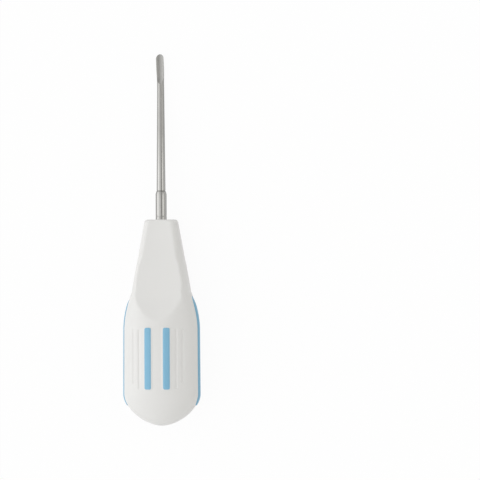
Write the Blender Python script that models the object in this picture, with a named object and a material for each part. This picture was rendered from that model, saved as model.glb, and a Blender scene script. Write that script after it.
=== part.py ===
"""Luxating elevator: a steel blade with a curved hollow tip, in a moulded bulb handle with inlaid grips.

Everything is modelled in the instrument's own frame: Y runs along the axis from the butt to the tip,
X across the handle and Z out of its front face. One empty then lays the whole instrument on its back.
"""

import math

import bmesh
import bpy
from mathutils import Matrix, Vector

# Handle body
HANDLE_LENGTH = 0.0867
BELLY_WIDTH = 0.0317
BELLY_SWELL = 0.0002
BELLY_DEPTH = 0.0212
BUTT_LENGTH = 0.0132
BUTT_SQUARENESS = 1.73
BUTT_PROFILE_LENGTH = 0.0180
FLARE_START = 0.0400
BELLY_PROFILE_END = 0.0340
SHOULDER = 0.0565
SHOULDER_WIDTH = 0.0245
NECK_END_WIDTH = 0.0138
NECK_END_DEPTH = 0.0092
NECK_END_ROUND = 0.0012

# Squareness of the section, which is fullest at the shoulder
BELLY_SQUARENESS = 2.1
SHOULDER_SQUARENESS = 3.35
NECK_SQUARENESS = 2.78
SQUARING_START = 0.0480
SQUARING_END = 0.0620
EASING_START = 0.0670
EASING_END = 0.0710

# Flat thumb rests on the front and back of the neck
REST_END_HEIGHT = 0.0040
REST_SLOPE = 0.097
REST_CURVE_START = 0.0560
REST_CURVE_RADIUS = 0.0240
REST_RAMP_SLOPE = 0.36

# Raised ribs inlaid in the front and back of the belly
RIB_START = 0.0154
RIB_LENGTH = 0.0259
RIB_WIDTH = 0.0030
RIB_END_ROUND = 0.0008
RIB_OFFSET = 0.0040
RIB_PROUD = 0.0005
RIB_DEPTH = 0.0012

# Grip grooves beside the ribs
GROOVE_END = 0.0412
GROOVE_WIDTH = 0.0012
GROOVE_DEPTH = 0.00035
INNER_GROOVE_OFFSET = 0.0079
INNER_GROOVE_START = 0.0154
OUTER_GROOVE_OFFSET = 0.0105
OUTER_GROOVE_START = 0.0174

# Bands inlaid along the left and right edges
BAND_START = 0.0085
BAND_END = 0.0545
BAND_WIDTH = 0.0034
BAND_PROUD = 0.0005
BAND_DEPTH = 0.0015
BAND_END_TAPER = 0.0035

# Shank and the blade's bend, scoop and tip
SHANK_LENGTH = 0.0576
SHANK_ROOT_DIAMETER = 0.0037
SHANK_DIAMETER = 0.0029
BLADE_WIDTH = 0.0032
BLADE_FLARE_LENGTH = 0.0065
BEND_LENGTH = 0.0170
BEND_ANGLE = math.radians(14.0)
SCOOP_LENGTH = 0.0122
SCOOP_RUN_OUT = 0.0034
SCOOP_FLOOR_HEIGHT = 0.0
SCOOP_RADIUS = 0.0026
TIP_ROUND_LENGTH = 0.0018
TIP_FLOOR_HEIGHT = -0.0007
TIP_THICKNESS = 0.00035
BACK_GRIND_POWER = 1.5

# Collar and the tang inside the handle
COLLAR_LENGTH = 0.0118
COLLAR_DIAMETER = 0.0046
COLLAR_SUNK = 0.0030
COLLAR_CHAMFER = 0.0003
COLLAR_CHAMFER_LENGTH = 0.0012
TANG_LENGTH = 0.0420
TANG_DIAMETER = 0.0038
TANG_FLATS = 0.0032
TANG_CHAMFER = 0.0004

# Room left between pieces that touch
SEAT_CLEARANCE = 0.0003

# Fineness of the meshes
RING_POINTS = 64
BUTT_STEPS = 12
BELLY_STEPS = 4
FLARE_STEPS = 12
SHOULDER_STEPS = 8
NECK_STEPS = 3
EDGE_STEPS = 4
REST_CURVE_STEPS = 5
STRIP_STEPS = 12
STRIP_END_STEPS = 5
STRIP_POINTS = 6
BACK_ARC_STEPS = 20
FRONT_ARC_STEPS = 8
SHANK_STEPS = 4
BEND_STEPS = 4
RUN_OUT_STEPS = 7
SCOOP_STEPS = 9
TIP_STEPS = 6
CUTTER_MARGIN = 0.0030
GROOVE_OVERCUT = 0.00015
STRIP_SHOULDER_DROP = 0.7
SMALLEST_SHARE = 0.03
BLUNT_SHARE = 0.12
LIP_TURN = math.radians(4.0)
SMOOTH_ANGLE = math.radians(32.0)

OVERALL_LENGTH = HANDLE_LENGTH + COLLAR_LENGTH + SHANK_LENGTH


def clear_scene():
    for old in list(bpy.data.objects):
        bpy.data.objects.remove(old, do_unlink=True)


def principled(name, colour, roughness, metallic=0.0):
    """A plain Principled material."""
    material = bpy.data.materials.new(name)
    material.use_nodes = True
    shader = material.node_tree.nodes["Principled BSDF"]
    shader.inputs["Base Color"].default_value = (*colour, 1.0)
    shader.inputs["Roughness"].default_value = roughness
    shader.inputs["Metallic"].default_value = metallic
    material.diffuse_color = (*colour, 1.0)
    return material


def steel():
    return principled("steel", (0.62, 0.62, 0.60), 0.28, metallic=1.0)


def white_plastic():
    return principled("white_plastic", (0.80, 0.80, 0.78), 0.42)


def blue_grip():
    return principled("blue_grip", (0.23, 0.50, 0.68), 0.55)


def lofted(name, rings):
    """A closed solid through rings with the same number of points, with a flat cap at each end."""
    shape = bmesh.new()
    loops = [[shape.verts.new(point) for point in ring] for ring in rings]
    count = len(loops[0])
    for near, far in zip(loops, loops[1:]):
        for i in range(count):
            j = (i + 1) % count
            shape.faces.new((near[i], near[j], far[j], far[i]))
    shape.faces.new(loops[0][::-1])
    shape.faces.new(loops[-1])
    bmesh.ops.recalc_face_normals(shape, faces=shape.faces)
    mesh = bpy.data.meshes.new(name)
    shape.to_mesh(mesh)
    shape.free()
    mesh.shade_smooth()
    mesh.set_sharp_from_angle(angle=SMOOTH_ANGLE)
    piece = bpy.data.objects.new(name, mesh)
    bpy.context.scene.collection.objects.link(piece)
    return piece


def cut(piece, cutter):
    """Takes the cutter's shape out of the piece."""
    cutter.hide_render = True
    cutter.display_type = "WIRE"
    boolean = piece.modifiers.new(cutter.name, "BOOLEAN")
    boolean.operation = "DIFFERENCE"
    boolean.solver = "EXACT"
    boolean.object = cutter


def spread(start, end, steps):
    """Evenly spaced values from start to end, both included."""
    return [start + (end - start) * i / steps for i in range(steps + 1)]


def rounded_end(distance, length, reach, power=2.0):
    """Half size at a distance from a rounded end, a quarter superellipse of that length and reach."""
    left = 1 - min(max(distance / length, 0.0), 1.0)
    return reach * (1 - left**power) ** (1 / power)


def eased(value, start, end):
    """Share of the way from start to end, with soft starts and stops."""
    share = min(max((value - start) / (end - start), 0.0), 1.0)
    return share * share * (3 - 2 * share)


# Form of the handle


def half_width(y):
    """Half the handle's width at y: round butt, belly that swells to it, flare and straight neck."""
    belly = BELLY_WIDTH / 2
    shoulder = SHOULDER_WIDTH / 2
    if y < FLARE_START:
        swell = BELLY_SWELL * (1 - y / FLARE_START)
        return rounded_end(y, BUTT_LENGTH, belly + swell, BUTT_SQUARENESS)
    if y < SHOULDER:
        share = (y - FLARE_START) / (SHOULDER - FLARE_START)
        return belly - (belly - shoulder) * share * share
    share = (y - SHOULDER) / (HANDLE_LENGTH - SHOULDER)
    return shoulder + (NECK_END_WIDTH / 2 - shoulder) * share


def half_depth(y):
    """Half the handle's depth at y: round butt, level belly, and a curve that runs into the neck's taper."""
    belly = BELLY_DEPTH / 2
    curve = SHOULDER - BELLY_PROFILE_END
    taper = HANDLE_LENGTH - SHOULDER
    slope = (belly - NECK_END_DEPTH / 2) / (curve / 2 + taper)
    if y < BELLY_PROFILE_END:
        return rounded_end(y, BUTT_PROFILE_LENGTH, belly)
    if y < SHOULDER:
        return belly - slope * (y - BELLY_PROFILE_END) ** 2 / (2 * curve)
    return belly - slope * (curve / 2 + y - SHOULDER)


def squareness(y):
    """Exponent of the section at y: nearly an ellipse in the belly, squarest at the shoulder."""
    gained = (SHOULDER_SQUARENESS - BELLY_SQUARENESS) * eased(y, SQUARING_START, SQUARING_END)
    lost = (SHOULDER_SQUARENESS - NECK_SQUARENESS) * eased(y, EASING_START, EASING_END)
    return BELLY_SQUARENESS + gained - lost


def end_rounding(y):
    """How far the rounded edge of the neck's end draws the section in at y."""
    into = max(y - (HANDLE_LENGTH - NECK_END_ROUND), 0.0)
    return NECK_END_ROUND - math.sqrt(max(NECK_END_ROUND**2 - into**2, 0.0))


def front_height(x, y):
    """Height of the handle's front surface over the axis."""
    power = squareness(y)
    share = min(abs(x) / half_width(y), 1.0)
    return half_depth(y) * (1 - share**power) ** (1 / power)


def side_reach(z, y):
    """Distance of the handle's side surface from the axis."""
    power = squareness(y)
    share = min(abs(z) / half_depth(y), 1.0)
    return half_width(y) * (1 - share**power) ** (1 / power)


def body_ring(y):
    """The handle's section at y, a superellipse."""
    width = half_width(y) - end_rounding(y)
    depth = half_depth(y) - end_rounding(y)
    power = 2 / squareness(y)
    ring = []
    for i in range(RING_POINTS):
        angle = 2 * math.pi * (i + 0.5) / RING_POINTS
        across = math.cos(angle)
        up = math.sin(angle)
        x = math.copysign(abs(across) ** power, across) * width
        z = math.copysign(abs(up) ** power, up) * depth
        ring.append((x, y, z))
    return ring


def body_stations():
    """Places of the handle's sections, closest where it is round."""
    butt = [
        BUTT_PROFILE_LENGTH * (1 - math.cos(angle))
        for angle in spread(math.pi / 2 * SMALLEST_SHARE, math.pi / 2, BUTT_STEPS)
    ]
    belly = spread(BUTT_PROFILE_LENGTH, BELLY_PROFILE_END, BELLY_STEPS)
    flare = spread(BELLY_PROFILE_END, SHOULDER, FLARE_STEPS)
    shoulder = spread(SHOULDER, EASING_END, SHOULDER_STEPS)
    neck = spread(EASING_END, HANDLE_LENGTH - NECK_END_ROUND, NECK_STEPS)
    edge = [
        HANDLE_LENGTH - NECK_END_ROUND * (1 - math.sin(angle))
        for angle in spread(0.0, math.pi / 2, EDGE_STEPS)
    ]
    return butt + belly[1:] + flare[1:] + shoulder[1:] + neck[1:] + edge[1:]


# What is cut out of the handle, and the inlays that seat in it


def rest_cutter(name, side):
    """The space over a thumb rest: a flat along the neck, a hollow curve, and a ramp up to the belly."""
    flat = math.atan(REST_SLOPE)
    ramp = math.atan(REST_RAMP_SLOPE)
    curve_height = REST_END_HEIGHT + REST_SLOPE * (HANDLE_LENGTH - REST_CURVE_START)
    top = BELLY_DEPTH / 2 + CUTTER_MARGIN
    beyond = HANDLE_LENGTH + CUTTER_MARGIN
    profile = [(beyond, top), (beyond, REST_END_HEIGHT - REST_SLOPE * CUTTER_MARGIN)]
    for angle in spread(flat, ramp, REST_CURVE_STEPS):
        y = REST_CURVE_START - REST_CURVE_RADIUS * (math.sin(angle) - math.sin(flat))
        z = curve_height + REST_CURVE_RADIUS * (math.cos(flat) - math.cos(angle))
        profile.append((y, z))
    curve_end, curve_end_height = profile[-1]
    profile.append((curve_end - (top - curve_end_height) / REST_RAMP_SLOPE, top))
    reach = BELLY_WIDTH / 2 + CUTTER_MARGIN
    return lofted(name, [[(x, y, side * z) for y, z in profile] for x in (-reach, reach)])


def strip_stations(start, end, taper):
    """Places of a strip's sections, closest at its round ends, each with its distance to the nearer end."""
    turns = spread(math.pi / 2 * BLUNT_SHARE, math.pi / 2, STRIP_END_STEPS)
    ends = [taper * (1 - math.cos(turn)) for turn in turns]
    middle = spread(start + taper, end - taper, STRIP_STEPS)[1:-1]
    places = [start + step for step in ends] + middle + [end - step for step in reversed(ends)]
    return [(y, min(y - start, end - y)) for y in places]


def strip(name, start, end, half, taper, top, floor, place):
    """A strip along the handle with round ends, between the heights top and floor, set by place."""
    shares = spread(-1.0, 1.0, STRIP_POINTS)
    rings = []
    for y, from_end in strip_stations(start, end, taper):
        reach = rounded_end(from_end, taper, half)
        upper = [place(share * reach, y, top(share, share * reach, y)) for share in shares]
        lower = [place(share * reach, y, floor(share, share * reach, y)) for share in reversed(shares)]
        rings.append(upper + lower)
    return lofted(name, rings)


def crown(share):
    """Height of a raised strip over its seat, as a share: flat in the middle and rounded off at its sides."""
    return 1 - STRIP_SHOULDER_DROP * share**4


def on_face(offset, side):
    """Sets a strip at an offset from the middle of the front (side 1) or back (side -1) face."""
    return lambda across, y, height: (offset + across, y, side * height)


def on_edge(side):
    """Sets a strip on the right (side 1) or left (side -1) edge."""
    return lambda across, y, height: (side * height, y, across)


def rib(name, offset, side):
    """A raised rib, seated in the belly."""
    half = RIB_WIDTH / 2
    end = RIB_START + RIB_LENGTH

    def top(share, across, y):
        return front_height(offset + across, y) + RIB_PROUD * crown(share)

    def floor(share, across, y):
        return front_height(offset, y) - RIB_DEPTH

    return strip(name, RIB_START, end, half, RIB_END_ROUND, top, floor, on_face(offset, side))


def rib_seat(name, offset, side):
    """The seat of a rib, wider and deeper than the rib by the clearance."""
    half = RIB_WIDTH / 2 + SEAT_CLEARANCE
    start = RIB_START - SEAT_CLEARANCE
    end = RIB_START + RIB_LENGTH + SEAT_CLEARANCE

    def top(share, across, y):
        return front_height(offset, y) + CUTTER_MARGIN

    def floor(share, across, y):
        return front_height(offset, y) - RIB_DEPTH - SEAT_CLEARANCE

    end_round = RIB_END_ROUND + SEAT_CLEARANCE
    return strip(name, start, end, half, end_round, top, floor, on_face(offset, side))


def groove_cutter(name, offset, start, side):
    """A round-bottomed grip groove, whose cutter starts a little above the surface."""
    deep = GROOVE_DEPTH + GROOVE_OVERCUT
    half = GROOVE_WIDTH / 2 * math.sqrt(deep / GROOVE_DEPTH)

    def top(share, across, y):
        return front_height(offset, y) + CUTTER_MARGIN

    def floor(share, across, y):
        return front_height(offset + across, y) - GROOVE_DEPTH + deep * share * share

    return strip(name, start, GROOVE_END, half, half, top, floor, on_face(offset, side))


def band(name, side):
    """A band that follows an edge of the handle, raised over it and seated in it."""
    half = BAND_WIDTH / 2

    def top(share, across, y):
        return side_reach(across, y) + BAND_PROUD * crown(share)

    def floor(share, across, y):
        return half_width(y) - BAND_DEPTH

    return strip(name, BAND_START, BAND_END, half, BAND_END_TAPER, top, floor, on_edge(side))


def band_seat(name, side):
    """The seat of a band, wider and deeper than the band by the clearance."""
    half = BAND_WIDTH / 2 + SEAT_CLEARANCE
    start = BAND_START - SEAT_CLEARANCE
    end = BAND_END + SEAT_CLEARANCE

    def top(share, across, y):
        return half_width(y) + CUTTER_MARGIN

    def floor(share, across, y):
        return half_width(y) - BAND_DEPTH - SEAT_CLEARANCE

    end_taper = BAND_END_TAPER + SEAT_CLEARANCE
    return strip(name, start, end, half, end_taper, top, floor, on_edge(side))


# Steel


def shank_radius(back):
    """Radius of the shank and of the blade's back at a distance back from the tip."""
    slim = SHANK_DIAMETER / 2
    if back > SCOOP_LENGTH:
        share = (back - SCOOP_LENGTH) / (SHANK_LENGTH - SCOOP_LENGTH)
        return slim + (SHANK_ROOT_DIAMETER / 2 - slim) * share
    return slim + (BLADE_WIDTH / 2 - slim) * eased(SCOOP_LENGTH - back, 0.0, BLADE_FLARE_LENGTH)


def scoop_floor(back):
    """Height of the scoop's floor over the axis: a long slope from the tip, then a run-out to the shank."""
    run_out_start = SCOOP_LENGTH - SCOOP_RUN_OUT
    slope = (SCOOP_FLOOR_HEIGHT - TIP_FLOOR_HEIGHT) / run_out_start
    rise = shank_radius(SCOOP_LENGTH) - TIP_FLOOR_HEIGHT - slope * SCOOP_LENGTH
    share = max((back - run_out_start) / SCOOP_RUN_OUT, 0.0)
    return TIP_FLOOR_HEIGHT + slope * back + rise * share * share


def lip_height(radius, floor_height):
    """Height of the blade's lips, where the scoop's arc over that floor meets the round bar."""
    centre = floor_height + SCOOP_RADIUS
    return (radius**2 - SCOOP_RADIUS**2 + centre**2) / (2 * centre)


def back_share(back):
    """How much of the round bar's depth is left under the lips, least at the tip."""
    lips = lip_height(BLADE_WIDTH / 2, TIP_FLOOR_HEIGHT)
    at_tip = (lips - TIP_FLOOR_HEIGHT + TIP_THICKNESS) / (lips + BLADE_WIDTH / 2)
    ground = max(1 - back / (SCOOP_LENGTH - SCOOP_RUN_OUT), 0.0)
    return 1 - (1 - at_tip) * ground**BACK_GRIND_POWER


def on_centreline(section, back):
    """Moves a flat section, points (x, up), to its place on the steel's axis, which bends near the tip."""
    bend_radius = BEND_LENGTH / BEND_ANGLE
    tilt = max(BEND_LENGTH - back, 0.0) / bend_radius
    straight_end = OVERALL_LENGTH - max(BEND_LENGTH, back)
    y = straight_end + bend_radius * math.sin(tilt)
    z = bend_radius * (1 - math.cos(tilt))
    return [(x, y - up * math.sin(tilt), z + up * math.cos(tilt)) for x, up in section]


def on_arc(radius, angles):
    """Points of a circle at those angles, counted from its lowest point."""
    return [(radius * math.sin(angle), -radius * math.cos(angle)) for angle in angles]


def round_section(radius, front_half, flats=None):
    """A round section: a back arc, and a front arc front_half wide each side. Flats trim its sides."""
    turn = math.pi - math.asin(front_half / radius)
    back_arc = spread(LIP_TURN - turn, turn - LIP_TURN, BACK_ARC_STEPS)
    front_arc = spread(turn, 2 * math.pi - turn, FRONT_ARC_STEPS)
    limit = flats / 2 if flats else radius
    return [(min(max(x, -limit), limit), up) for x, up in on_arc(radius, back_arc + front_arc)]


def hollow_section(back):
    """The blade's section: a hollow front, and the back of the round bar, ground thinner to the tip."""
    radius = shank_radius(back)
    floor_height = scoop_floor(back)
    lips = lip_height(radius, floor_height)
    lip = math.sqrt(radius**2 - lips**2)
    turn = math.atan2(lip, -lips) - LIP_TURN
    half = rounded_end(back, TIP_ROUND_LENGTH, radius)
    if half < lip:
        turn = min(turn, math.asin(half / radius))
    reach = min(half, lip)
    centre = floor_height + SCOOP_RADIUS
    front = [(x, centre - math.sqrt(SCOOP_RADIUS**2 - x * x)) for x in spread(reach, -reach, FRONT_ARC_STEPS)]
    share = back_share(back)
    bar = on_arc(radius, spread(-turn, turn, BACK_ARC_STEPS))
    return [(x, lips + (up - lips) * share) for x, up in bar] + front


def tang_rings(clearance=0.0):
    """Sections of the tang and of the collar's sunk end, or with a clearance those of their bore."""
    start = HANDLE_LENGTH - TANG_LENGTH - clearance
    step = HANDLE_LENGTH - COLLAR_SUNK - clearance
    tang = TANG_DIAMETER / 2 + clearance
    collar = COLLAR_DIAMETER / 2 + clearance
    flats = TANG_FLATS + 2 * clearance
    sizes = [
        (start, tang - TANG_CHAMFER, flats),
        (start + TANG_CHAMFER, tang, flats),
        (step, tang, flats),
        (step, collar, None),
    ]
    return [
        [(x, y, up) for x, up in round_section(radius, radius / 2, flat)]
        for y, radius, flat in sizes
    ]


def collar_rings():
    """Sections of the collar from the neck of the handle to its chamfered end."""
    end = HANDLE_LENGTH + COLLAR_LENGTH
    radius = COLLAR_DIAMETER / 2
    sizes = [(end - COLLAR_CHAMFER_LENGTH, radius), (end, radius - COLLAR_CHAMFER)]
    return [[(x, y, up) for x, up in round_section(size, size / 2)] for y, size in sizes]


def shank_rings():
    """Sections of the shank, whose front arc narrows to the point where the scoop starts."""
    straight = spread(SHANK_LENGTH, BEND_LENGTH, SHANK_STEPS)
    bent = spread(BEND_LENGTH, SCOOP_LENGTH, BEND_STEPS)[1:]
    rings = []
    for back in straight + bent:
        radius = shank_radius(back)
        share = min((back - SCOOP_LENGTH) / (BEND_LENGTH - SCOOP_LENGTH), 1.0)
        front_half = radius * (BLUNT_SHARE + (0.5 - BLUNT_SHARE) * share)
        rings.append(on_centreline(round_section(radius, front_half), back))
    return rings


def blade_rings():
    """Sections of the hollow blade, from the scoop's run-out to the round tip."""
    run_out_start = SCOOP_LENGTH - SCOOP_RUN_OUT
    run_out = spread(SCOOP_LENGTH - SCOOP_RUN_OUT * SMALLEST_SHARE, run_out_start, RUN_OUT_STEPS)
    scoop = spread(run_out_start, TIP_ROUND_LENGTH, SCOOP_STEPS)[1:]
    turns = spread(math.pi / 2, math.pi / 2 * BLUNT_SHARE, TIP_STEPS)[1:]
    tip = [TIP_ROUND_LENGTH * (1 - math.cos(turn)) for turn in turns]
    return [on_centreline(hollow_section(back), back) for back in run_out + scoop + tip]


def blade(name):
    """The whole steel, one piece from the tang's end to the tip."""
    return lofted(name, tang_rings() + collar_rings() + shank_rings() + blade_rings())


def bore_cutter(name):
    """The bore that holds the tang and the sunk end of the collar."""
    rings = tang_rings(SEAT_CLEARANCE)
    mouth = [(x, HANDLE_LENGTH + CUTTER_MARGIN, z) for x, y, z in rings[-1]]
    return lofted(name, rings + [mouth])


# Assembly


def handle_body(name):
    """The moulded handle with its thumb rests, grooves, seats and bore."""
    body = lofted(name, [body_ring(y) for y in body_stations()])
    grooves = (
        ("inner", INNER_GROOVE_OFFSET, INNER_GROOVE_START),
        ("outer", OUTER_GROOVE_OFFSET, OUTER_GROOVE_START),
    )
    for face, side in (("front", 1), ("back", -1)):
        cut(body, rest_cutter(f"{face}_rest_cutter", side))
        for hand, sign in (("left", -1), ("right", 1)):
            cut(body, rib_seat(f"{face}_{hand}_rib_seat", sign * RIB_OFFSET, side))
            for place, offset, start in grooves:
                cut(body, groove_cutter(f"{face}_{hand}_{place}_groove", sign * offset, start, side))
    for hand, sign in (("left", -1), ("right", 1)):
        cut(body, band_seat(f"{hand}_band_seat", sign))
    cut(body, bore_cutter("tang_bore"))
    return body


def world_points(pieces):
    """Every corner of the finished pieces in world space."""
    view = bpy.context.evaluated_depsgraph_get()
    points = []
    for piece in pieces:
        shown = piece.evaluated_get(view)
        mesh = shown.to_mesh()
        points += [shown.matrix_world @ vertex.co for vertex in mesh.vertices]
        shown.to_mesh_clear()
    return points


def lower_hull(points):
    """The underside of points (y, z) as a chain that bends upwards."""
    chain = []
    for point in sorted(set(points)):
        while len(chain) > 1:
            (ay, az), (by, bz) = chain[-2:]
            if (by - ay) * (point[1] - az) > (bz - az) * (point[0] - ay):
                break
            chain.pop()
        chain.append(point)
    return chain


def lie_on_back(frame, pieces):
    """Tilts and lifts the frame so that the instrument rests on z = 0 on its belly and its shank."""
    points = world_points(pieces)
    chain = lower_hull([(point.y, point.z) for point in points])
    spans = [(far[0] - near[0], far[1] - near[1]) for near, far in zip(chain, chain[1:])]
    run, rise = max(spans)
    tilt = Matrix.Rotation(-math.atan2(rise, run), 4, "X")
    turned = [tilt @ point for point in points]
    middle = (min(point.y for point in turned) + max(point.y for point in turned)) / 2
    lowest = min(point.z for point in turned)
    frame.matrix_world = Matrix.Translation(Vector((0.0, -middle, -lowest))) @ tilt


def main():
    clear_scene()
    painted = [(blade("blade"), steel()), (handle_body("handle_body"), white_plastic())]
    blue = blue_grip()
    for face, side in (("front", 1), ("back", -1)):
        for hand, sign in (("left", -1), ("right", 1)):
            painted.append((rib(f"{face}_rib_{hand}", sign * RIB_OFFSET, side), blue))
    for hand, sign in (("left", -1), ("right", 1)):
        painted.append((band(f"side_grip_{hand}", sign), blue))
    pieces = [piece for piece, material in painted]
    for piece, material in painted:
        piece.data.materials.append(material)
    frame = bpy.data.objects.new("instrument_frame", None)
    bpy.context.scene.collection.objects.link(frame)
    lie_on_back(frame, pieces)
    for thing in list(bpy.context.scene.objects):
        if thing is not frame:
            thing.parent = frame
    bpy.context.view_layer.update()


main()
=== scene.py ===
"""Looks of the luxating elevator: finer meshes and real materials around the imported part, on a pale floor."""

import math

import bmesh
import bpy
from mathutils import Matrix, Vector


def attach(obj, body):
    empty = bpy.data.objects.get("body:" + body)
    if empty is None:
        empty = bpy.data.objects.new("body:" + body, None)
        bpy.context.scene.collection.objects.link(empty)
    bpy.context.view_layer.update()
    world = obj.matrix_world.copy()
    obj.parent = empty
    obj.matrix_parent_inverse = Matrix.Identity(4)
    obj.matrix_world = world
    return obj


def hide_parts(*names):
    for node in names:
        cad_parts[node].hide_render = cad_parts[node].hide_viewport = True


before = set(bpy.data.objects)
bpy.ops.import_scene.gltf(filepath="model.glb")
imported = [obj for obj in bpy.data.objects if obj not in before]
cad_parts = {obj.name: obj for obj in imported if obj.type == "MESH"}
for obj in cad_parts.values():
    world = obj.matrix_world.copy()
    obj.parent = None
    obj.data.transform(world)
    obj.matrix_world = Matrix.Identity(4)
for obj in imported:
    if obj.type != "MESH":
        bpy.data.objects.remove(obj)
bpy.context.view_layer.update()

# Where the instrument's own frame lies in the row frame: Y from butt to tip, Z out of the front face
AXIS_TILT = math.radians(-5.19354)
AXIS_START = Vector((0.0, -0.0777910, 0.0143809))
LYING = Matrix.Translation(AXIS_START) @ Matrix.Rotation(AXIS_TILT, 4, "X")

# Handle body
HANDLE_LENGTH = 0.0867
BELLY_WIDTH = 0.0317
BELLY_SWELL = 0.0002
BELLY_DEPTH = 0.0212
BUTT_LENGTH = 0.0132
BUTT_SQUARENESS = 1.73
BUTT_PROFILE_LENGTH = 0.0180
FLARE_START = 0.0400
BELLY_PROFILE_END = 0.0340
SHOULDER = 0.0565
SHOULDER_WIDTH = 0.0245
NECK_END_WIDTH = 0.0138
NECK_END_DEPTH = 0.0092
NECK_END_ROUND = 0.0012
BELLY_SQUARENESS = 2.1
SHOULDER_SQUARENESS = 3.35
NECK_SQUARENESS = 2.78
SQUARING_START = 0.0480
SQUARING_END = 0.0620
EASING_START = 0.0670
EASING_END = 0.0710

# Thumb rests
REST_END_HEIGHT = 0.0040
REST_SLOPE = 0.097
REST_CURVE_START = 0.0560
REST_CURVE_RADIUS = 0.0240
REST_RAMP_SLOPE = 0.36
REST_EDGE_BLEND = 0.00045
REST_END_ROUND = 0.0005
REST_DISH = 0.0002

# Ribs, grooves (each with its offset and its start) and bands
RIB_START = 0.0154
RIB_LENGTH = 0.0259
RIB_WIDTH = 0.0030
RIB_END_ROUND = 0.0008
RIB_OFFSET = 0.0040
RIB_PROUD = 0.00046
RIB_EDGE_ROUND = 0.00016
STRIP_SHOULDER_DROP = 0.7
LIP_HEIGHT = 0.00016
LIP_WIDTH = 0.0008
GROOVE_END = 0.0412
GROOVE_WIDTH = 0.0017
GROOVE_DEPTH = 0.00028
GROOVES = ((0.0079, 0.0154), (0.0105, 0.0174))
BAND_START = 0.0085
BAND_END = 0.0545
BAND_WIDTH = 0.0034
BAND_PROUD = 0.00048
BAND_END_TAPER = 0.0035
BAND_RUN_OUT = 0.0045
BAND_RUN_OUT_SHARE = 0.25
BAND_EDGE_ROUND = 0.0002
INLAY_DEPTH = 0.0006

# Steel
SHANK_LENGTH = 0.0576
SHANK_ROOT_DIAMETER = 0.0037
SHANK_DIAMETER = 0.0029
BLADE_WIDTH = 0.0032
BLADE_FLARE_LENGTH = 0.0065
BEND_LENGTH = 0.0170
BEND_ANGLE = math.radians(14.0)
SCOOP_LENGTH = 0.0122
SCOOP_RUN_OUT = 0.0034
SCOOP_FLOOR_HEIGHT = 0.0
SCOOP_RADIUS = 0.0026
TIP_ROUND_LENGTH = 0.0018
TIP_FLOOR_HEIGHT = -0.0007
TIP_THICKNESS = 0.00035
BACK_GRIND_POWER = 1.5
COLLAR_LENGTH = 0.0118
COLLAR_DIAMETER = 0.0046
COLLAR_SUNK = 0.0030
COLLAR_CHAMFER = 0.0003
COLLAR_CHAMFER_LENGTH = 0.0012
UNDERCUT_DEPTH = 0.00016
UNDERCUT_LENGTH = 0.0004
TURNED_LINE_BACK = 0.0014
TURNED_LINE_DEPTH = 0.00008
TURNED_LINE_HALF = 0.00025
TANG_LENGTH = 0.0420
TANG_DIAMETER = 0.0038
TANG_FLATS = 0.0032
TANG_CHAMFER = 0.0004
BORE_CLEARANCE = 0.00003
OVERALL_LENGTH = HANDLE_LENGTH + COLLAR_LENGTH + SHANK_LENGTH

# Where along the shank the polish starts to turn satin, and where it has done so, from the collar's end
SATIN_START = 0.0080
SATIN_END = 0.0260

# Fineness of the steel: the back's arc stops a small turn short of the lips
BACK_ARC_STEPS = 72
FRONT_ARC_STEPS = 36
LIP_TURN = math.radians(2.0)
SHANK_STEPS = 12
BEND_STEPS = 16
BLADE_STEPS = 30
TIP_ROUND_STEPS = 20

# Half width of the round bar's front arc as a share of its radius, on the shank and at the scoop's point
SHANK_ARC_SHARE = 0.5
POINT_ARC_SHARE = 0.06

# Sections of the scoop's run-out, which start a little past its point, towards the tip, and are closest there
RUN_OUT_STEPS = 30
RUN_OUT_GAP = 0.01
RUN_OUT_CROWDING = 1.4

# Fineness of the inlays, and the share of a quarter turn left out at a rounded end, so that it ends blunt
RIB_END_STEPS = 10
RIB_STEPS = 60
RIB_ACROSS_STEPS = 28
BAND_END_STEPS = 16
BAND_STEPS = 90
BAND_ACROSS_STEPS = 24
BLUNT_SHARE = 0.12

# Where the handle's lengthwise lines cross the belly, out from its middle and then down to its edge, in runs
# of start, end and steps that are closest at the sides of the ribs, the grooves and the bands
COLUMNS_OUT = (
    (0.0, 0.0014, 3), (0.0014, 0.0026, 9), (0.0026, 0.0054, 3), (0.0054, 0.0066, 9), (0.0066, 0.0072, 1),
    (0.0072, 0.0086, 12), (0.0086, 0.0098, 3), (0.0098, 0.0112, 12), (0.0112, 0.0128, 5),
)
COLUMNS_DOWN = ((0.0064, 0.0024, 10), (0.0024, 0.0014, 8), (0.0014, 0.0, 3))

# Where the handle's sections lie: closer and closer towards the butt's end, then in runs of start, end and
# steps that are closest at the ends of the ribs and grooves, and last round the edge of the neck's end
APEX_REACH = 0.0072
APEX_STEPS = 16
APEX_SECTIONS = 11
BUTT_STEPS = 24
SECTION_RUNS = (
    (0.0144, 0.0162, 16), (0.0162, 0.0173, 3), (0.0173, 0.0181, 6), (0.0181, 0.0403, 32),
    (0.0403, 0.0418, 13), (0.0418, 0.0450, 9), (0.0450, 0.0570, 42), (0.0570, 0.0720, 38),
)
NECK_STEPS = 26
NECK_ROUND_STEPS = 8
NECK_FACE_SHARES = (0.25, 0.5, 0.75)

# The photo's frame in pixels, its scale, and its lens
PICTURE = 480
METRES_PER_PIXEL = 0.00042048
BUTT_ROW = 425.4
AXIS_COLUMN = 161.3
VIEW_TURN = math.radians(10.6)
VIEW_ROLL = math.radians(0.24)
LENS_MM = 600.0
SENSOR_MM = 36.0
CLIP_RATIO = 20

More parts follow.
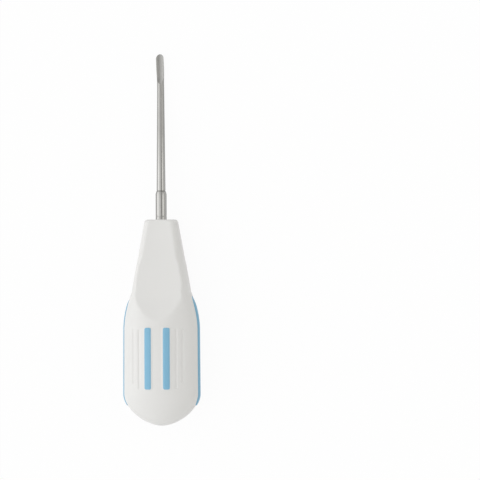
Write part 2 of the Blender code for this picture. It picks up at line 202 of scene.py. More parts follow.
# Studio light: angle across the instrument in degrees, right of straight up, and level
BRIGHTEST = 2.5
WARM_SIDE = (1.01, 1.0, 0.975)
EVEN_SIDE = (1.0, 1.0, 1.0)
SOFTBOX_SWEEP = (
    (-90, 1.35), (-72, 2.15), (-55, 1.90), (-36, 1.44), (-10, 1.22), (8, 0.95), (17, 0.38),
    (27, 0.38), (36, 1.15), (48, 1.65), (66, 1.50), (78, 0.90), (90, 0.60),
)
DOME_SWEEP = ((-90, 1.36), (-50, 1.32), (-20, 1.02), (0, 0.79), (30, 0.55), (60, 0.68), (90, 0.74))

# How far along the instrument's length the softboxes reach, and where the dome has taken over
SOFTBOX_REACH = 0.20
DOME_START = 0.55

# Floor: half its size, its own colour, and the share of pure white that the camera and reflections see in it
FLOOR_REACH = 3.0
FLOOR_COLOUR = (0.84, 0.84, 0.84)
FLOOR_WHITE = 0.94

# Materials: tints from dark to light, gloss as a range of roughness, and a bump as its distance and strength
NOISE_LOW = 0.25
NOISE_HIGH = 0.75
PLASTIC_COLOUR = (0.69, 0.686, 0.672)
PLASTIC_ROUGHNESS = 0.42
PLASTIC_TINTS = ((0.682, 0.679, 0.666), (0.697, 0.695, 0.683))
PLASTIC_GLOSS = (0.38, 0.47)
PLASTIC_CLOUD = 60.0
PLASTIC_GRAIN = 5200.0
PLASTIC_BUMP = (0.00002, 0.6)
INLAY_COLOUR = (0.20, 0.435, 0.605)
INLAY_ROUGHNESS = 0.50
INLAY_TINTS = ((0.192, 0.424, 0.590), (0.208, 0.446, 0.620))
INLAY_GLOSS = (0.42, 0.56)
INLAY_CLOUD = 140.0
INLAY_GRAIN = 3600.0
INLAY_BUMP = (0.00003, 0.6)
# The ribs keep the blue as it is. The bands' lower tone darkens the same blue as painted shade, for their sides
# that turn away from the light.
RIB_TONE = 1.0
BAND_PAINTED_SHADE = 0.93
STEEL_COLOUR = (0.40, 0.396, 0.384)
STEEL_ROUGHNESS = 0.17
STEEL_EDGE_TINT = (0.55, 0.55, 0.55, 1.0)
POLISHED_TINTS = ((0.373, 0.369, 0.357), (0.433, 0.429, 0.415))
SATIN_TINTS = ((0.339, 0.335, 0.322), (0.391, 0.387, 0.373))
POLISHED_GLOSS = (0.13, 0.21)
SATIN_GLOSS = (0.38, 0.46)
GROUND_GLOSS = (0.46, 0.56)
SHANK_BRUSHING = 9000.0
SHANK_STRETCH = (1.0, 0.02, 1.0)
COLLAR_BRUSHING = 12000.0
COLLAR_STRETCH = (0.02, 1.0, 0.02)
COLLAR_BLEND = 0.0001
STEEL_CLOUD = 300.0
STEEL_BUMP = (0.000008, 0.5)


def spread(start, end, steps):
    """Evenly spaced values from start to end, both included."""
    return [start + (end - start) * i / steps for i in range(steps + 1)]


def joined(*runs):
    """Runs of values that share their ends, as one list."""
    values = list(runs[0])
    for run in runs[1:]:
        values += run[1:]
    return values


def eased(value, start, end):
    """Share of the way from start to end, with soft starts and stops."""
    share = min(max((value - start) / (end - start), 0.0), 1.0)
    return share * share * (3 - 2 * share)


def soft_min(a, b, blend):
    """The smaller of two heights, with the edge between them rounded over."""
    share = min(max(0.5 + 0.5 * (b - a) / blend, 0.0), 1.0)
    return b + (a - b) * share - blend * share * (1 - share)


def rounded_end(distance, length, reach, power=2.0):
    """Half size at a distance from a rounded end, a quarter superellipse of that length and reach."""
    left = 1 - min(max(distance / length, 0.0), 1.0)
    return reach * (1 - left**power) ** (1 / power)


def finished(name, corners, faces, material, sharp=40.0):
    """A mesh piece in the instrument's frame, smooth but at edges that turn more than sharp degrees."""
    mesh = bpy.data.meshes.new(name)
    mesh.from_pydata([LYING @ Vector(corner) for corner in corners], [], faces)
    mesh.update()
    mesh.shade_smooth()
    mesh.set_sharp_from_angle(angle=math.radians(sharp))
    mesh.materials.append(material)
    piece = bpy.data.objects.new(name, mesh)
    bpy.context.scene.collection.objects.link(piece)
    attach(piece, "root")
    return piece


def ring_faces(rings):
    """Quads between rings of corners that run the same way round, far ring after near ring."""
    count = len(rings[0])
    faces = []
    for near, far in zip(rings, rings[1:]):
        for i in range(count):
            j = (i + 1) % count
            faces.append((near[i], far[i], far[j], near[j]))
    return faces


def numbered(rings):
    """All corners of the rings in one list, and the rings as numbers into it."""
    corners = [corner for ring in rings for corner in ring]
    count = len(rings[0])
    return corners, [list(range(i * count, (i + 1) * count)) for i in range(len(rings))]


# Form of the handle


def half_width(y):
    """Half the handle's width at y: the round butt, the belly, the flare and the straight neck."""
    belly = BELLY_WIDTH / 2
    shoulder = SHOULDER_WIDTH / 2
    if y < FLARE_START:
        swell = BELLY_SWELL * (1 - y / FLARE_START)
        return rounded_end(y, BUTT_LENGTH, belly + swell, BUTT_SQUARENESS)
    if y < SHOULDER:
        share = (y - FLARE_START) / (SHOULDER - FLARE_START)
        return belly - (belly - shoulder) * share * share
    share = (y - SHOULDER) / (HANDLE_LENGTH - SHOULDER)
    return shoulder + (NECK_END_WIDTH / 2 - shoulder) * share


def half_depth(y):
    """Half the handle's depth at y, before the thumb rests are cut."""
    belly = BELLY_DEPTH / 2
    curve = SHOULDER - BELLY_PROFILE_END
    taper = HANDLE_LENGTH - SHOULDER
    slope = (belly - NECK_END_DEPTH / 2) / (curve / 2 + taper)
    if y < BELLY_PROFILE_END:
        return rounded_end(y, BUTT_PROFILE_LENGTH, belly)
    if y < SHOULDER:
        return belly - slope * (y - BELLY_PROFILE_END) ** 2 / (2 * curve)
    return belly - slope * (curve / 2 + y - SHOULDER)


def squareness(y):
    """Power of the section's superellipse at y, highest at the shoulder."""
    gained = (SHOULDER_SQUARENESS - BELLY_SQUARENESS) * eased(y, SQUARING_START, SQUARING_END)
    lost = (SHOULDER_SQUARENESS - NECK_SQUARENESS) * eased(y, EASING_START, EASING_END)
    return BELLY_SQUARENESS + gained - lost


def drawn_in(y, radius):
    """How far a rounded edge of that radius at the neck's end draws a surface in at y."""
    into = max(y - (HANDLE_LENGTH - radius), 0.0)
    return radius - math.sqrt(max(radius**2 - into**2, 0.0))


def front_height(x, y):
    """Height of the handle's front over its axis, before the thumb rests are cut."""
    power = squareness(y)
    share = min(abs(x) / half_width(y), 1.0)
    return half_depth(y) * (1 - share**power) ** (1 / power)


def side_reach(z, y):
    """Distance of the handle's side from its axis at height z."""
    power = squareness(y)
    share = min(abs(z) / half_depth(y), 1.0)
    return half_width(y) * (1 - share**power) ** (1 / power)


def rest_height(y):
    """Height of a thumb rest: a flat along the neck, a hollow curve, and a ramp up to the belly."""
    flat = math.atan(REST_SLOPE)
    ramp = math.atan(REST_RAMP_SLOPE)
    curve_height = REST_END_HEIGHT + REST_SLOPE * (HANDLE_LENGTH - REST_CURVE_START)
    if y > REST_CURVE_START:
        return REST_END_HEIGHT + REST_SLOPE * (HANDLE_LENGTH - y) - drawn_in(y, REST_END_ROUND)
    turn = math.sin(flat) + (REST_CURVE_START - y) / REST_CURVE_RADIUS
    if turn < math.sin(ramp):
        return curve_height + REST_CURVE_RADIUS * (math.cos(flat) - math.cos(math.asin(turn)))
    curve_end = REST_CURVE_START - REST_CURVE_RADIUS * (math.sin(ramp) - math.sin(flat))
    end_height = curve_height + REST_CURVE_RADIUS * (math.cos(flat) - math.cos(ramp))
    return end_height + (curve_end - y) * REST_RAMP_SLOPE


def outside_rib(x, y):
    """Distance from a rib's outline in plan, less than nothing inside it."""
    centre = RIB_START + RIB_LENGTH / 2
    across = abs(abs(x) - RIB_OFFSET) - (RIB_WIDTH / 2 - RIB_END_ROUND)
    along = abs(y - centre) - (RIB_LENGTH / 2 - RIB_END_ROUND)
    beyond = math.hypot(max(across, 0.0), max(along, 0.0))
    return beyond + min(max(across, along), 0.0) - RIB_END_ROUND


def groove_sink(x, y):
    """Depth of the grip grooves, which have round bottoms, soft edges and round ends."""
    half = GROOVE_WIDTH / 2
    sink = 0.0
    for offset, start in GROOVES:
        along = max(start + half - y, y - (GROOVE_END - half), 0.0)
        away = math.hypot(abs(x) - offset, along) / half
        if away < 1:
            sink = max(sink, GROOVE_DEPTH * (0.5 + 0.5 * math.cos(math.pi * away)))
    return sink


def lip_rise(x, y):
    """The low lip of plastic that rises to the foot of each rib."""
    away = max(outside_rib(x, y), 0.0) / LIP_WIDTH
    return LIP_HEIGHT * (1 - eased(away, 0.0, 1.0))


def body_columns():
    """Angles of the handle's lengthwise lines, once round from its right edge."""
    out = joined(*[spread(*run) for run in COLUMNS_OUT])
    down = joined(*[spread(*run) for run in COLUMNS_DOWN])
    power = BELLY_SQUARENESS / 2
    quarter = [math.acos((x / (BELLY_WIDTH / 2)) ** power) for x in out]
    quarter += [math.asin((z / (BELLY_DEPTH / 2)) ** power) for z in down]
    right = quarter[::-1]
    left = [math.pi - turn for turn in quarter[1:]]
    upper = right + left
    lower = [turn + math.pi for turn in upper[1:-1]]
    return upper + lower


def body_rows():
    """Places of the handle's sections, from the butt to the neck's end."""
    apex = [APEX_REACH * (step / APEX_STEPS) ** BUTT_SQUARENESS for step in range(1, APEX_SECTIONS + 1)]
    edge_turns = spread(0.0, math.pi / 2, NECK_ROUND_STEPS)
    return joined(
        apex,
        spread(apex[-1], SECTION_RUNS[0][0], BUTT_STEPS),
        *[spread(*run) for run in SECTION_RUNS],
        spread(SECTION_RUNS[-1][1], HANDLE_LENGTH - NECK_END_ROUND, NECK_STEPS),
        [HANDLE_LENGTH - NECK_END_ROUND * (1 - math.sin(turn)) for turn in edge_turns],
    )


def body_ring(y, columns):
    """The handle's section at y, with its rests, lips and grooves, through the given angles."""
    width = half_width(y) - drawn_in(y, NECK_END_ROUND)
    depth = half_depth(y) - drawn_in(y, NECK_END_ROUND)
    power = 2 / squareness(y)
    rest = rest_height(y)
    edge = side_reach(rest, y) if rest < half_depth(y) else 0.0
    ring = []
    for turn in columns:
        x = math.copysign(abs(math.cos(turn)) ** power, math.cos(turn)) * width
        up = abs(math.sin(turn)) ** power * depth
        up += lip_rise(x, y) - groove_sink(x, y)
        dish = REST_DISH * (1 - min(abs(x) / edge, 1.0) ** 2) if edge else 0.0
        up = soft_min(up, rest - dish, REST_EDGE_BLEND)
        ring.append((x, y, math.copysign(up, math.sin(turn))))
    return ring


def bore_rings(end_ring):
    """The neck's end face and the bore for the collar and the tang, from the edge inwards."""
    collar = COLLAR_DIAMETER / 2 + BORE_CLEARANCE
    tang = TANG_DIAMETER / 2 + BORE_CLEARANCE
    flats = TANG_FLATS / 2 + BORE_CLEARANCE
    turns = [math.atan2(z, x) for x, y, z in end_ring]

    def circle(radius, y, limit):
        points = [(radius * math.cos(turn), radius * math.sin(turn)) for turn in turns]
        return [(min(max(x, -limit), limit), y, z) for x, z in points]

    mouth = circle(collar, HANDLE_LENGTH, collar)
    face = [
        [tuple(a + (b - a) * share for a, b in zip(outer, inner)) for outer, inner in zip(end_ring, mouth)]
        for share in NECK_FACE_SHARES
    ]
    step = HANDLE_LENGTH - COLLAR_SUNK - BORE_CLEARANCE
    bottom = HANDLE_LENGTH - TANG_LENGTH - BORE_CLEARANCE
    bore = [circle(collar, step, collar), circle(tang, step, flats), circle(tang, bottom, flats)]
    return face + [mouth] + bore


def handle_body(material):
    """The moulded handle, with thumb rests, lips, grooves and bore."""
    columns = body_columns()
    outside = [body_ring(y, columns) for y in body_rows()]
    corners, rings = numbered(outside + bore_rings(outside[-1]))
    faces = ring_faces(rings)
    count = len(columns)
    bottom = corners[rings[-1][0]][1]
    for ring, y, at_butt in ((rings[0], 0.0, True), (rings[-1], bottom, False)):
        centre = len(corners)
        corners.append((0.0, y, 0.0))
        for i in range(count):
            j = (i + 1) % count
            faces.append((ring[j], centre, ring[i]) if at_butt else (ring[i], centre, ring[j]))
    piece = finished("handle_body_moulded", corners, faces, material)
    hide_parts("handle_body")


# Inlays


def closed_slab(name, top, floor, material):
    """A closed piece between two grids of corners with the same rows and columns."""
    rows, columns = len(top), len(top[0])
    corners = [corner for grid in (top, floor) for row in grid for corner in row]
    base = rows * columns

    def at(grid, i, j):
        return grid * base + i * columns + j

    faces = []
    for i in range(rows - 1):
        for j in range(columns - 1):
            faces.append((at(0, i, j), at(0, i, j + 1), at(0, i + 1, j + 1), at(0, i + 1, j)))
            faces.append((at(1, i, j), at(1, i + 1, j), at(1, i + 1, j + 1), at(1, i, j + 1)))
    edge = [(0, j) for j in range(columns)] + [(i, columns - 1) for i in range(1, rows)]
    edge += [(rows - 1, j) for j in range(columns - 2, -1, -1)] + [(i, 0) for i in range(rows - 2, 0, -1)]
    for here, there in zip(edge, edge[1:] + edge[:1]):
        faces.append((at(0, *there), at(0, *here), at(1, *here), at(1, *there)))
    return finished(name, corners, faces, material)


def outward(piece):
    """Turns a closed piece's faces outwards if they were made facing inwards."""
    shape = bmesh.new()
    shape.from_mesh(piece.data)
    bmesh.ops.recalc_face_normals(shape, faces=shape.faces)
    shape.to_mesh(piece.data)
    shape.free()


def crown(share):
    """Height of an inlay over its seat, as a share: flat in the middle and rounded off at its sides."""
    return 1 - STRIP_SHOULDER_DROP * share**4


def edge_drop(inside, radius):
    """How far a rounded edge of that radius lies under the surface, at a distance inside the outline."""
    into = max(radius - inside, 0.0)
    return radius - math.sqrt(max(radius**2 - into**2, 0.0))


def rib(name, node, offset, side, material):
    """A raised rib with rounded corners and edges, in the front (side 1) or back (side -1) of the belly."""
    half = RIB_WIDTH / 2
    end = RIB_START + RIB_LENGTH
    turns = spread(0.0, math.pi / 2, RIB_END_STEPS)
    ends = [RIB_END_ROUND * (1 - math.cos(turn)) for turn in turns]
    middle = spread(RIB_START + RIB_END_ROUND, end - RIB_END_ROUND, RIB_STEPS)[1:-1]
    rows = [RIB_START + step for step in ends] + middle + [end - step for step in reversed(ends)]
    shares = [math.sin(turn) for turn in spread(-math.pi / 2, math.pi / 2, RIB_ACROSS_STEPS)]
    top, floor = [], []
    for y in rows:
        into = max(RIB_END_ROUND - min(y - RIB_START, end - y), 0.0)
        reach = half - RIB_END_ROUND + math.sqrt(max(RIB_END_ROUND**2 - into**2, 0.0))
        top_row, floor_row = [], []
        for share in shares:
            x = offset + share * reach
            lift = RIB_PROUD * crown(share * reach / half) - edge_drop(-outside_rib(x, y), RIB_EDGE_ROUND)
            base = front_height(x, y)
            top_row.append((x, y, side * (base + lift)))
            floor_row.append((x, y, side * (base - INLAY_DEPTH)))
        top.append(top_row)
        floor.append(floor_row)
    piece = closed_slab(name, top, floor, material)
    outward(piece)
    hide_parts(node)


def band(name, node, side, material):
    """A band with tapered ends, set in the right (side 1) or left (side -1) edge."""
    half = BAND_WIDTH / 2
    turns = spread(math.pi / 2 * BLUNT_SHARE, math.pi / 2, BAND_END_STEPS)
    ends = [BAND_END_TAPER * (1 - math.cos(turn)) for turn in turns]
    middle = spread(BAND_START + BAND_END_TAPER, BAND_END - BAND_END_TAPER, BAND_STEPS)[1:-1]
    rows = [BAND_START + step for step in ends] + middle + [BAND_END - step for step in reversed(ends)]
    shares = [math.sin(turn) for turn in spread(-math.pi / 2, math.pi / 2, BAND_ACROSS_STEPS)]
    top, floor = [], []
    for y in rows:
        reach = rounded_end(min(y - BAND_START, BAND_END - y), BAND_END_TAPER, half)
        full = BAND_RUN_OUT_SHARE + (1 - BAND_RUN_OUT_SHARE) * eased(BAND_END - y, 0.0, BAND_RUN_OUT)
        top_row, floor_row = [], []
        for share in shares:
            z = share * reach
            lift = full * (BAND_PROUD * crown(share) - edge_drop(reach - abs(z), BAND_EDGE_ROUND))
            top_row.append((side * (side_reach(z, y) + lift), y, z))
            floor_row.append((side * (side_reach(z, y) - INLAY_DEPTH), y, z))
        top.append(top_row)
        floor.append(floor_row)
    piece = closed_slab(name, top, floor, material)
    outward(piece)
    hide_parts(node)


# Steel


def shank_radius(back):
    """Radius of the round bar at a distance back from the tip."""
    slim = SHANK_DIAMETER / 2
    if back > SCOOP_LENGTH:
        share = (back - SCOOP_LENGTH) / (SHANK_LENGTH - SCOOP_LENGTH)
        return slim + (SHANK_ROOT_DIAMETER / 2 - slim) * share
    return slim + (BLADE_WIDTH / 2 - slim) * eased(SCOOP_LENGTH - back, 0.0, BLADE_FLARE_LENGTH)


def scoop_floor(back):
    """Height of the scoop's floor over the steel's axis, which rises to the surface at its run-out."""
    run_out_start = SCOOP_LENGTH - SCOOP_RUN_OUT
    slope = (SCOOP_FLOOR_HEIGHT - TIP_FLOOR_HEIGHT) / run_out_start
    rise = shank_radius(SCOOP_LENGTH) - TIP_FLOOR_HEIGHT - slope * SCOOP_LENGTH
    share = max((back - run_out_start) / SCOOP_RUN_OUT, 0.0)
    return TIP_FLOOR_HEIGHT + slope * back + rise * share * share


def lip_height(radius, floor):
    """Height at which the scoop's arc over that floor meets the round bar."""
    centre = floor + SCOOP_RADIUS
    return (radius**2 - SCOOP_RADIUS**2 + centre**2) / (2 * centre)


def back_share(back):
    """How much of the round bar's depth is left under the lips, least at the tip."""
    lips = lip_height(BLADE_WIDTH / 2, TIP_FLOOR_HEIGHT)
    at_tip = (lips - TIP_FLOOR_HEIGHT + TIP_THICKNESS) / (lips + BLADE_WIDTH / 2)
    ground = max(1 - back / (SCOOP_LENGTH - SCOOP_RUN_OUT), 0.0)
    return 1 - (1 - at_tip) * ground**BACK_GRIND_POWER


def on_centreline(section, back):
    """Moves a flat section, points (x, up), to its place on the steel's axis, which bends near the tip."""
    bend_radius = BEND_LENGTH / BEND_ANGLE
    tilt = max(BEND_LENGTH - back, 0.0) / bend_radius
    straight_end = OVERALL_LENGTH - max(BEND_LENGTH, back)
    y = straight_end + bend_radius * math.sin(tilt)
    z = bend_radius * (1 - math.cos(tilt))
    return [(x, y - up * math.sin(tilt), z + up * math.cos(tilt)) for x, up in section]


def on_arc(radius, angles):
    """Points (x, up) of an arc, at angles that are nothing at the back."""
    return [(radius * math.sin(angle), -radius * math.cos(angle)) for angle in angles]


def round_section(radius, front_half, flats=None):
    """Section of the round bar, in a back arc and a front arc of that half width, cut to flats if given."""
    turn = math.pi - math.asin(front_half / radius)
    back_arc = spread(LIP_TURN - turn, turn - LIP_TURN, BACK_ARC_STEPS)
    front_arc = spread(turn, 2 * math.pi - turn, FRONT_ARC_STEPS)
    limit = flats / 2 if flats else radius
    return [(min(max(x, -limit), limit), up) for x, up in on_arc(radius, back_arc + front_arc)]


def hollow_section(back):
    """Section of the blade: a hollow front, and the back of the round bar, ground thinner towards the tip."""
    radius = shank_radius(back)
    floor_height = scoop_floor(back)
    lips = lip_height(radius, floor_height)
    lip = math.sqrt(radius**2 - lips**2)
    turn = math.atan2(lip, -lips) - LIP_TURN
    half = rounded_end(back, TIP_ROUND_LENGTH, radius)
    if half < lip:
        turn = min(turn, math.asin(half / radius))
    reach = min(half, lip)
    centre = floor_height + SCOOP_RADIUS
    front = [(x, centre - math.sqrt(SCOOP_RADIUS**2 - x * x)) for x in spread(reach, -reach, FRONT_ARC_STEPS)]
    share = back_share(back)
    bar = on_arc(radius, spread(-turn, turn, BACK_ARC_STEPS))
    return [(x, lips + (up - lips) * share) for x, up in bar] + front


def turned_rings():
    """Sections of the tang, the collar and the fine undercut where the shank leaves the collar."""
    collar = COLLAR_DIAMETER / 2
    tang = TANG_DIAMETER / 2
    root = SHANK_ROOT_DIAMETER / 2
    step = HANDLE_LENGTH - COLLAR_SUNK
    start = HANDLE_LENGTH - TANG_LENGTH
    end = HANDLE_LENGTH + COLLAR_LENGTH
    line = HANDLE_LENGTH + TURNED_LINE_BACK
    sizes = [
        (start, tang - TANG_CHAMFER, TANG_FLATS),
        (start + TANG_CHAMFER, tang, TANG_FLATS),
        (step, tang, TANG_FLATS),
        (step, collar, None),
        (line - TURNED_LINE_HALF, collar, None),
        (line, collar - TURNED_LINE_DEPTH, None),
        (line + TURNED_LINE_HALF, collar, None),
        (end - COLLAR_CHAMFER_LENGTH, collar, None),
        (end, collar - COLLAR_CHAMFER, None),
        (end + UNDERCUT_LENGTH / 2, root - UNDERCUT_DEPTH, None),
    ]
    rings = []
    for y, radius, flats in sizes:
        section = round_section(radius, radius * SHANK_ARC_SHARE, flats)
        rings.append([(x, y, up) for x, up in section])
    return rings


def shank_rings():
    """Sections of the shank, whose front arc narrows to the point where the scoop starts."""
    backs = joined(
        spread(SHANK_LENGTH - UNDERCUT_LENGTH, BEND_LENGTH, SHANK_STEPS),
        spread(BEND_LENGTH, SCOOP_LENGTH, BEND_STEPS),
    )
    rings = []
    for back in backs:
        radius = shank_radius(back)
        share = min((back - SCOOP_LENGTH) / (BEND_LENGTH - SCOOP_LENGTH), 1.0)
        arc = POINT_ARC_SHARE + (SHANK_ARC_SHARE - POINT_ARC_SHARE) * share
        rings.append(on_centreline(round_section(radius, radius * arc), back))
    return rings


def blade_rings():
    """Sections of the hollow blade, from the scoop's run-out to the round tip."""
    run_out_start = SCOOP_LENGTH - SCOOP_RUN_OUT
    turns = spread(math.pi / 2, math.pi / 2 * BLUNT_SHARE, TIP_ROUND_STEPS)
    shares = [(step / RUN_OUT_STEPS) ** RUN_OUT_CROWDING for step in range(RUN_OUT_STEPS + 1)]
    backs = joined(
        [SCOOP_LENGTH - SCOOP_RUN_OUT * (RUN_OUT_GAP + (1 - RUN_OUT_GAP) * share) for share in shares],
        spread(run_out_start, TIP_ROUND_LENGTH, BLADE_STEPS),
        [TIP_ROUND_LENGTH * (1 - math.cos(turn)) for turn in turns],
    )
    return [on_centreline(hollow_section(back), back) for back in backs]


def blade(material):
    """The whole steel, from the tang's end to the tip."""
    corners, rings = numbered(turned_rings() + shank_rings() + blade_rings())
    faces = ring_faces(rings) + [tuple(rings[0]), tuple(reversed(rings[-1]))]
    piece = finished("blade_steel", corners, faces, material, sharp=30.0)
    outward(piece)
    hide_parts("blade")


# Materials


def node(owner, kind, **values):
    """A new node of that kind in a material or the world, with the given settings."""
    made = owner.node_tree.nodes.new(kind)
    for key, value in values.items():
        setattr(made, key, value)
    return made


def link(owner, source, target):
    """Joins an output to an input."""
    owner.node_tree.links.new(source, target)


def base_material(name, colour, roughness):
    """A new material and its shader, with a plain colour and roughness."""
    material = bpy.data.materials.new(name)
    material.use_nodes = True
    shader = material.node_tree.nodes["Principled BSDF"]
    shader.inputs["Base Color"].default_value = (*colour, 1.0)
    shader.inputs["Roughness"].default_value = roughness
    return material, shader


def along_instrument(material):
    """Coordinates in the instrument's own frame."""
    where = node(material, "ShaderNodeTexCoord")
    turned = node(material, "ShaderNodeMapping", vector_type="TEXTURE")
    turned.inputs["Location"].default_value = AXIS_START
    turned.inputs["Rotation"].default_value = (AXIS_TILT, 0.0, 0.0)
    link(material, where.outputs["Object"], turned.inputs["Vector"])
    return turned.outputs["Vector"]


def stretched(material, where, scale):
    """Coordinates scaled on each axis, which draws noise out along an axis of small scale."""
    mapping = node(material, "ShaderNodeMapping")
    mapping.inputs["Scale"].default_value = scale
    link(material, where, mapping.inputs["Vector"])
    return mapping.outputs["Vector"]


def noise(material, where, scale, detail=3.0):
    """Soft noise of that scale."""
    made = node(material, "ShaderNodeTexNoise")
    made.inputs["Scale"].default_value = scale
    made.inputs["Detail"].default_value = detail
    link(material, where, made.inputs["Vector"])
    return made.outputs["Fac"]


def reached(owner, value, start, end, **values):
    """How far a value has gone from start to end, as a share."""
    made = node(owner, "ShaderNodeMapRange", **values)
    made.inputs["From Min"].default_value = start
    made.inputs["From Max"].default_value = end
    link(owner, value, made.inputs["Value"])
    return made.outputs["Result"]


def ranged(material, value, low, high):
    """A noise taken to the range from low to high."""
    made = node(material, "ShaderNodeMapRange")
    made.inputs["From Min"].default_value = NOISE_LOW
    made.inputs["From Max"].default_value = NOISE_HIGH
    made.inputs["To Min"].default_value = low
    made.inputs["To Max"].default_value = high
    link(material, value, made.inputs["Value"])
    return made.outputs["Result"]


def scaled(material, value, factor):
    """A value times a plain number."""
    made = node(material, "ShaderNodeMath", operation="MULTIPLY")
    made.inputs[1].default_value = factor
    link(material, value, made.inputs[0])
    return made.outputs[0]


def paired(owner, operation, first, second):
    """Two values put together by that operation."""
    made = node(owner, "ShaderNodeMath", operation=operation)
    link(owner, first, made.inputs[0])
    link(owner, second, made.inputs[1])
    return made.outputs[0]


def tinted(material, value, dark, light):
    """A colour between two plain ones by a value."""
    made = node(material, "ShaderNodeMix", data_type="RGBA")
    made.inputs[6].default_value = (*dark, 1.0)
    made.inputs[7].default_value = (*light, 1.0)
    link(material, value, made.inputs[0])
    return made.outputs[2]


def blended(material, share, first, second):
    """A value between two others by a share."""
    made = node(material, "ShaderNodeMix")
    link(material, share, made.inputs[0])
    link(material, first, made.inputs[2])
    link(material, second, made.inputs[3])
    return made.outputs[0]


def blended_colour(owner, share, first, second):
    """A colour between two others by a share."""
    made = node(owner, "ShaderNodeMix", data_type="RGBA")
    link(owner, share, made.inputs[0])
    link(owner, first, made.inputs[6])
    link(owner, second, made.inputs[7])
    return made.outputs[2]


def bumped(material, shader, height, distance, strength):
    """Gives the shader a fine relief from a height."""
    made = node(material, "ShaderNodeBump")
    made.inputs["Distance"].default_value = distance
    made.inputs["Strength"].default_value = strength
    link(material, height, made.inputs["Height"])
    link(material, made.outputs["Normal"], shader.inputs["Normal"])


def moulded_plastic():
    """Satin white plastic: a fine spark-eroded grain, with slight unevenness in tone and gloss."""
    material, shader = base_material("satin_white_plastic", PLASTIC_COLOUR, PLASTIC_ROUGHNESS)
    where = along_instrument(material)
    cloud = noise(material, where, PLASTIC_CLOUD)
    grain = noise(material, where, PLASTIC_GRAIN, detail=2.0)
    tint = tinted(material, ranged(material, cloud, 0.0, 1.0), *PLASTIC_TINTS)
    link(material, tint, shader.inputs["Base Color"])
    link(material, ranged(material, cloud, *PLASTIC_GLOSS), shader.inputs["Roughness"])
    bumped(material, shader, grain, *PLASTIC_BUMP)
    return material


def soft_inlay(name, tone):
    """Matte blue elastomer with a soft fine grain. Its colour is darker the lower the tone, which on the side
    bands is painted shade.
    """
    material, shader = base_material(name, [part * tone for part in INLAY_COLOUR], INLAY_ROUGHNESS)
    where = along_instrument(material)
    cloud = noise(material, where, INLAY_CLOUD)
    grain = noise(material, where, INLAY_GRAIN)
    dark, light = ([part * tone for part in colour] for colour in INLAY_TINTS)
    tint = tinted(material, ranged(material, cloud, 0.0, 1.0), dark, light)
    link(material, tint, shader.inputs["Base Color"])
    link(material, ranged(material, grain, *INLAY_GLOSS), shader.inputs["Roughness"])
    bumped(material, shader, grain, *INLAY_BUMP)
    return material


def brushing(material, where, past_collar):
    """Height of the fine brushing, which runs round the collar, and lengthwise past it."""
    lengthwise = noise(material, stretched(material, where, SHANK_STRETCH), SHANK_BRUSHING)
    turned = noise(material, stretched(material, where, COLLAR_STRETCH), COLLAR_BRUSHING, detail=2.0)
    return blended(material, past_collar, turned, lengthwise)


def brushed_steel():
    """Stainless steel, brushed, polished near the collar, satin along the shank and matte in the scoop."""
    material, shader = base_material("brushed_steel", STEEL_COLOUR, STEEL_ROUGHNESS)
    shader.inputs["Metallic"].default_value = 1.0
    shader.inputs["Specular Tint"].default_value = STEEL_EDGE_TINT
    where = along_instrument(material)
    place = node(material, "ShaderNodeSeparateXYZ")
    link(material, where, place.inputs["Vector"])
    along = place.outputs["Y"]
    collar_end = HANDLE_LENGTH + COLLAR_LENGTH
    scoop_start = OVERALL_LENGTH - SCOOP_LENGTH
    hollow_start = scoop_start + SCOOP_RUN_OUT
    past_collar = reached(material, along, collar_end - COLLAR_BLEND, collar_end + COLLAR_BLEND)
    outwards = reached(material, along, collar_end + SATIN_START, collar_end + SATIN_END)
    ground = reached(material, along, scoop_start, hollow_start, interpolation_type="SMOOTHSTEP")
    height = brushing(material, where, past_collar)
    cloud = noise(material, where, STEEL_CLOUD)
    mean = paired(material, "ADD", scaled(material, height, 0.5), scaled(material, cloud, 0.5))
    streaks = ranged(material, mean, 0.0, 1.0)
    polished = tinted(material, streaks, *POLISHED_TINTS)
    satin = tinted(material, streaks, *SATIN_TINTS)
    link(material, blended_colour(material, outwards, polished, satin), shader.inputs["Base Color"])
    fine = ranged(material, height, *POLISHED_GLOSS)
    soft = ranged(material, height, *SATIN_GLOSS)
    matte = ranged(material, height, *GROUND_GLOSS)
    bar = blended(material, outwards, fine, soft)
    link(material, blended(material, ground, bar, matte), shader.inputs["Roughness"])
    bumped(material, shader, height, *STEEL_BUMP)
    return material


# Floor, light and camera


def floor():
    """A wide pale floor that shows white behind the instrument and keeps a faint soft shadow."""
    size = FLOOR_REACH
    corners = [(-size, -size, 0), (size, -size, 0), (size, size, 0), (-size, size, 0)]
    mesh = bpy.data.meshes.new("floor")
    mesh.from_pydata(corners, [], [(0, 1, 2, 3)])
    plane = bpy.data.objects.new("floor", mesh)
    bpy.context.scene.collection.objects.link(plane)
    material, shader = base_material("pale_floor", FLOOR_COLOUR, 1.0)
    shader.inputs["Specular IOR Level"].default_value = 0.0
    white = node(material, "ShaderNodeEmission")
    ray = node(material, "ShaderNodeLightPath")
    direct = paired(material, "MAXIMUM", ray.outputs["Is Camera Ray"], ray.outputs["Is Glossy Ray"])
    clear = paired(material, "MAXIMUM", direct, ray.outputs["Is Transmission Ray"])
    mixed = node(material, "ShaderNodeMixShader")
    link(material, scaled(material, clear, FLOOR_WHITE), mixed.inputs[0])
    link(material, shader.outputs[0], mixed.inputs[1])
    link(material, white.outputs[0], mixed.inputs[2])
    link(material, mixed.outputs[0], material.node_tree.nodes["Material Output"].inputs["Surface"])
    mesh.materials.append(material)


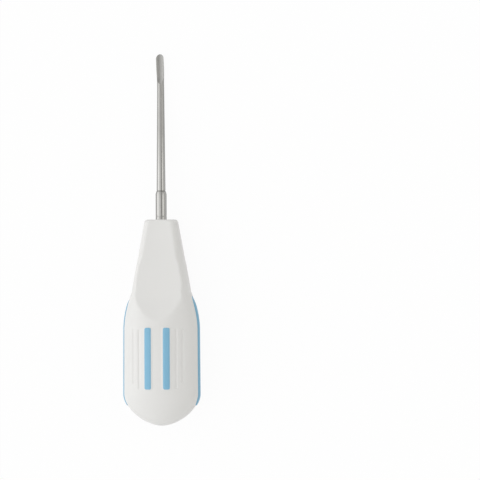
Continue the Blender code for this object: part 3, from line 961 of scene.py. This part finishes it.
def sweep(world, turn, stops):
    """Brightness round the instrument's length, from stops of angle (negative on the left) and level."""
    ramp = node(world, "ShaderNodeValToRGB")
    elements = ramp.color_ramp.elements
    elements.remove(elements[-1])
    for place, (angle, level) in enumerate(stops):
        position = (angle + 90) / 180
        element = elements[0] if place == 0 else elements.new(position)
        element.position = position
        warmth = WARM_SIDE if angle > 0 else EVEN_SIDE
        element.color = (*[level * part / BRIGHTEST for part in warmth], 1.0)
    link(world, turn, ramp.inputs["Fac"])
    return ramp.outputs["Color"]


def studio():
    """A dome of light, brighter on the left, with a softbox on each side and a dark gap between them."""
    world = bpy.data.worlds.new("studio")
    bpy.context.scene.world = world
    world.use_nodes = True
    where = node(world, "ShaderNodeTexCoord")
    split = node(world, "ShaderNodeSeparateXYZ")
    link(world, where.outputs["Generated"], split.inputs["Vector"])
    around = paired(world, "ARCTAN2", split.outputs["X"], split.outputs["Z"])
    turn = reached(world, around, -math.pi / 2, math.pi / 2)
    length = node(world, "ShaderNodeMath", operation="ABSOLUTE")
    link(world, split.outputs["Y"], length.inputs[0])
    beyond = reached(world, length.outputs[0], SOFTBOX_REACH, DOME_START, interpolation_type="SMOOTHSTEP")
    softboxes = sweep(world, turn, SOFTBOX_SWEEP)
    dome = sweep(world, turn, DOME_SWEEP)
    background = world.node_tree.nodes["Background"]
    background.inputs["Strength"].default_value = BRIGHTEST
    link(world, blended_colour(world, beyond, softboxes, dome), background.inputs["Color"])


def camera():
    """The photo's view: from over the front face, turned a little to the right, with a long lens."""
    data = bpy.data.cameras.new("camera")
    data.lens = LENS_MM
    data.sensor_width = SENSOR_MM
    view = bpy.data.objects.new("camera", data)
    bpy.context.scene.collection.objects.link(view)
    bpy.context.scene.camera = view
    turned = LYING.to_3x3()
    right = turned @ Vector((math.cos(VIEW_TURN), 0.0, -math.sin(VIEW_TURN)))
    back = turned @ Vector((math.sin(VIEW_TURN), 0.0, math.cos(VIEW_TURN)))
    up = back.cross(right)
    along = (BUTT_ROW - PICTURE / 2) * METRES_PER_PIXEL
    across = (PICTURE / 2 - AXIS_COLUMN) * METRES_PER_PIXEL
    target = LYING @ Vector((0.0, along, 0.0)) + right * across
    distance = PICTURE * METRES_PER_PIXEL * LENS_MM / SENSOR_MM
    place = Matrix((right, up, back)).transposed().to_4x4()
    roll = Matrix.Rotation(-VIEW_ROLL, 4, "Z")
    view.matrix_world = Matrix.Translation(target + back * distance) @ place @ roll
    data.clip_start = distance / CLIP_RATIO
    data.clip_end = distance * CLIP_RATIO


def main():
    """Builds the pieces, then the floor, the light and the camera."""
    steel = brushed_steel()
    white = moulded_plastic()
    blue = soft_inlay("soft_blue_rib", RIB_TONE)
    # The side bands get the same blue, darkened as painted shade.
    painted_shade_blue = soft_inlay("soft_blue_band_painted_shade", BAND_PAINTED_SHADE)
    blade(steel)
    handle_body(white)
    for face, side in (("front", 1), ("back", -1)):
        for hand, sign in (("left", -1), ("right", 1)):
            rib(f"{face}_rib_{hand}_inlay", f"{face}_rib_{hand}", sign * RIB_OFFSET, side, blue)
    for hand, sign in (("left", -1), ("right", 1)):
        band(f"side_grip_{hand}_inlay", f"side_grip_{hand}", sign, painted_shade_blue)
    floor()
    studio()
    camera()
    bpy.context.scene.view_settings.view_transform = "Standard"


main()
